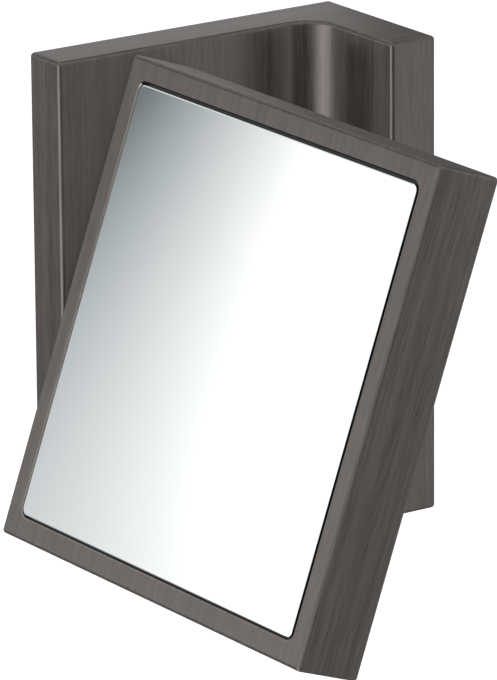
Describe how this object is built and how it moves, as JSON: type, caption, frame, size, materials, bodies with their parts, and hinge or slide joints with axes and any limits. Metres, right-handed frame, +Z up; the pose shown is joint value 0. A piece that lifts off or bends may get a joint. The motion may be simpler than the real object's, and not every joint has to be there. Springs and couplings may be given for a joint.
{
  "type": "shaving mirror",
  "caption": "Wall-mounted shaving mirror: a rectangular framed glass tilts on a friction hinge at the end of a rigid L-shaped arm, in dark brushed metal.",
  "frame": {"origin": "the middle of the wall leg's back face, on the wall plane", "axes": "+X to the right along the wall, seen from the room; +Y into the wall; +Z up. The object is on the -Y side of the wall plane. At rest the head leans back 19.6 degrees, its face turned up."},
  "size_m": [0.1748, 0.1342, 0.15],
  "materials": {
    "dark_brushed_metal": "dark warm grey, brushed in one direction, satin",
    "mirror_glass": "polished, silvered on the back",
    "plated_steel": "zinc plated",
    "bright_steel": "turned, bright",
    "dark_steel": "blackened",
    "aluminium_sheet": "mill finish",
    "bronze": "sintered bronze, oiled",
    "black_rubber": "matte",
    "black_nylon": "moulded, satin",
    "foam_tape": "double-sided foam tape"
  },
  "bodies": {
    "bracket": {"bracket": "dark_brushed_metal", "mounting_plate": "plated_steel", "bracket_grub_screw_left": "dark_steel", "bracket_grub_screw_right": "dark_steel", "arm_thread_insert": "plated_steel", "pivot_axle": "bright_steel", "spacer_washer": "black_nylon", "disc_spring_1": "dark_steel", "disc_spring_2": "dark_steel", "thrust_washer": "bright_steel", "lock_nut": "bright_steel"},
    "mirror_head": {"mirror_frame": "dark_brushed_metal", "mirror_glass": "mirror_glass", "glass_seal": "black_rubber", "adhesive_sheet": "foam_tape", "carrier_plate": "aluminium_sheet", "back_cover": "dark_brushed_metal", "hinge_block": "plated_steel", "pivot_bush": "bronze", "friction_disc": "bronze", "hinge_block_screw_upper": "bright_steel", "hinge_block_screw_lower": "bright_steel", "carrier_buffer_1": "black_rubber", "carrier_buffer_2": "black_rubber", "carrier_buffer_3": "black_rubber", "carrier_buffer_4": "black_rubber", "cover_screw_1": "dark_steel", "cover_screw_2": "dark_steel", "cover_screw_3": "dark_steel", "cover_screw_4": "dark_steel"}
  },
  "joints": [
    {"name": "mirror_tilt", "type": "hinge", "parent": "bracket", "child": "mirror_head", "pos_m": [-0.0117, -0.099, 0], "axis": [1, 0, 0], "continuous": true}
  ]
}
